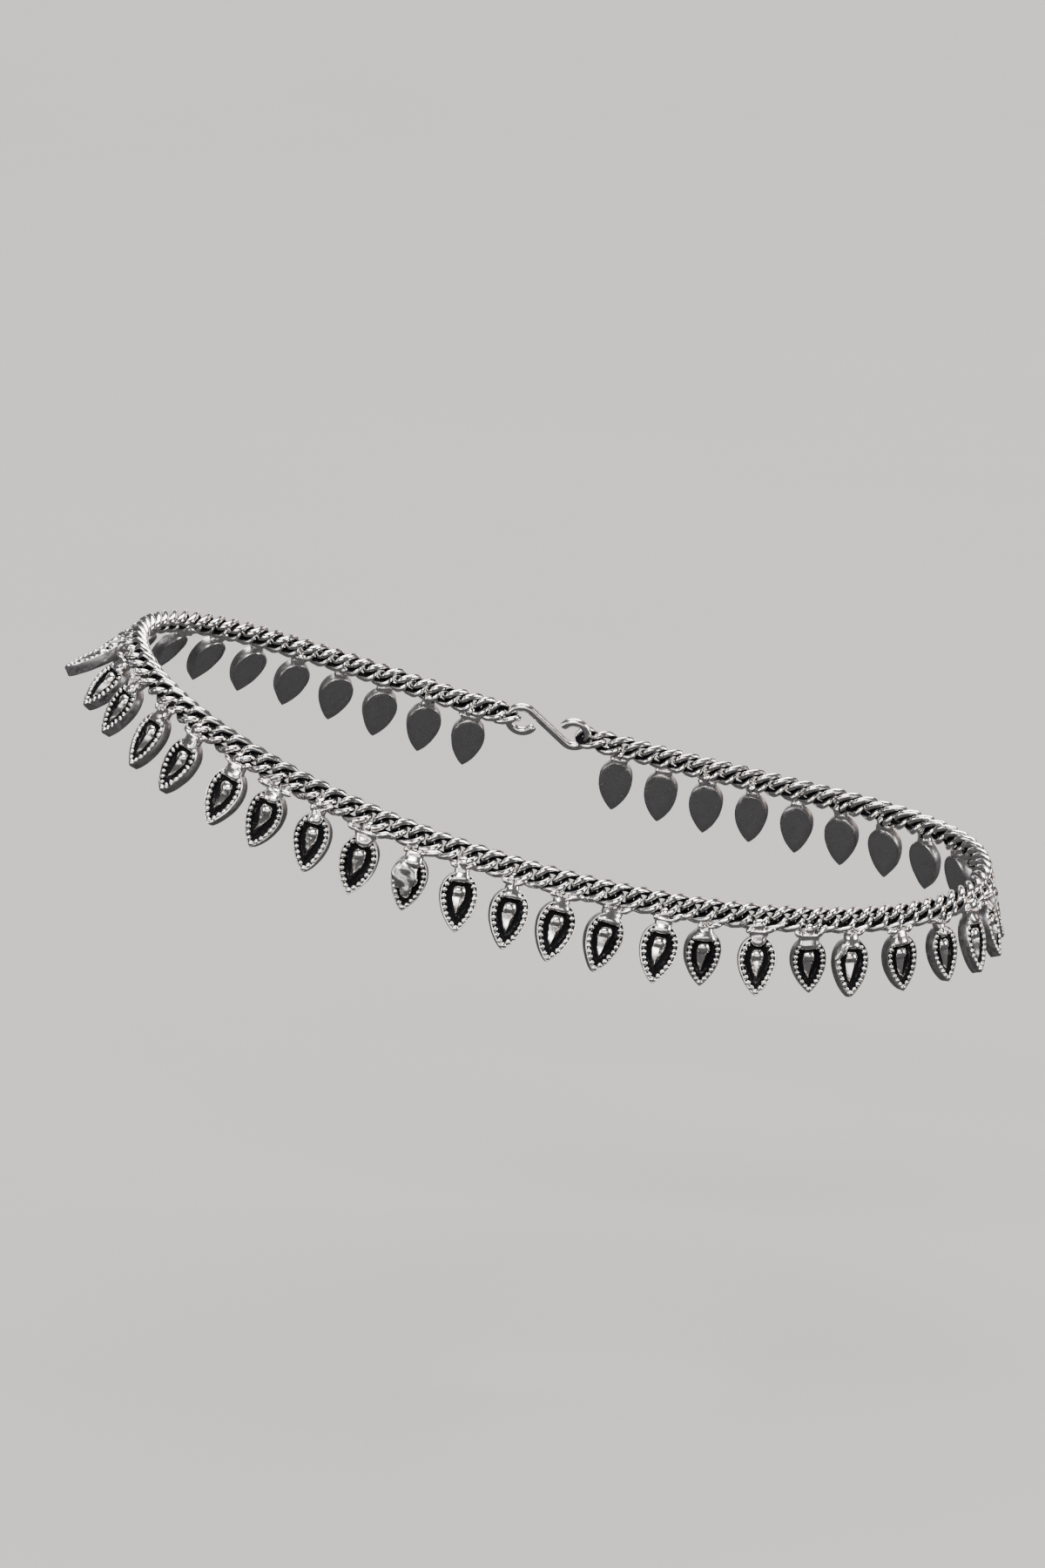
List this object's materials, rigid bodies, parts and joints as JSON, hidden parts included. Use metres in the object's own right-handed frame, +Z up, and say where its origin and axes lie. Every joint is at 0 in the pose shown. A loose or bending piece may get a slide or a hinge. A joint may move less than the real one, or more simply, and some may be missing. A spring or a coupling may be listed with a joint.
{
  "type": "payal anklet",
  "caption": "Payal anklet in its worn form: a curb chain loop hung with small pointed teardrops, each a beaded cast box on a soldered block, closed by a plain double hook.",
  "frame": {"origin": "centre of the opening that the ankle fills, at mid height of the loop", "axes": "+X along the loop towards the heel, -X towards the toes, -Y towards the side that shows in the picture, +Z up the leg"},
  "size_m": [0.1075, 0.0597, 0.0377],
  "materials": {
    "chain_silver": "polished silver wire with black oxide in the hollows",
    "drop_silver": "cast silver, bright on the raised beads and the boss, black on the sunk ground",
    "clasp_silver": "plain polished silver wire, lightly darkened"
  },
  "bodies": {
    "root": {"curb_chain": "chain_silver", "hook_clasp": "clasp_silver", "leaf_drop_01": "drop_silver", "leaf_drop_02": "drop_silver", "leaf_drop_03": "drop_silver", "leaf_drop_04": "drop_silver", "leaf_drop_05": "drop_silver", "leaf_drop_06": "drop_silver", "leaf_drop_07": "drop_silver", "leaf_drop_08": "drop_silver", "leaf_drop_09": "drop_silver", "leaf_drop_10": "drop_silver", "leaf_drop_11": "drop_silver", "leaf_drop_12": "drop_silver", "leaf_drop_13": "drop_silver", "leaf_drop_14": "drop_silver", "leaf_drop_15": "drop_silver", "leaf_drop_16": "drop_silver", "leaf_drop_17": "drop_silver", "leaf_drop_18": "drop_silver", "leaf_drop_19": "drop_silver", "leaf_drop_20": "drop_silver", "leaf_drop_21": "drop_silver", "leaf_drop_22": "drop_silver", "leaf_drop_23": "drop_silver", "leaf_drop_24": "drop_silver", "leaf_drop_25": "drop_silver", "leaf_drop_26": "drop_silver", "leaf_drop_27": "drop_silver", "leaf_drop_28": "drop_silver", "leaf_drop_29": "drop_silver", "leaf_drop_30": "drop_silver", "leaf_drop_31": "drop_silver", "leaf_drop_32": "drop_silver", "leaf_drop_33": "drop_silver", "leaf_drop_34": "drop_silver", "leaf_drop_35": "drop_silver", "leaf_drop_36": "drop_silver", "leaf_drop_37": "drop_silver", "leaf_drop_38": "drop_silver", "leaf_drop_39": "drop_silver", "leaf_drop_40": "drop_silver", "leaf_drop_41": "drop_silver", "leaf_drop_42": "drop_silver", "leaf_drop_43": "drop_silver", "leaf_drop_44": "drop_silver"}
  },
  "joints": []
}
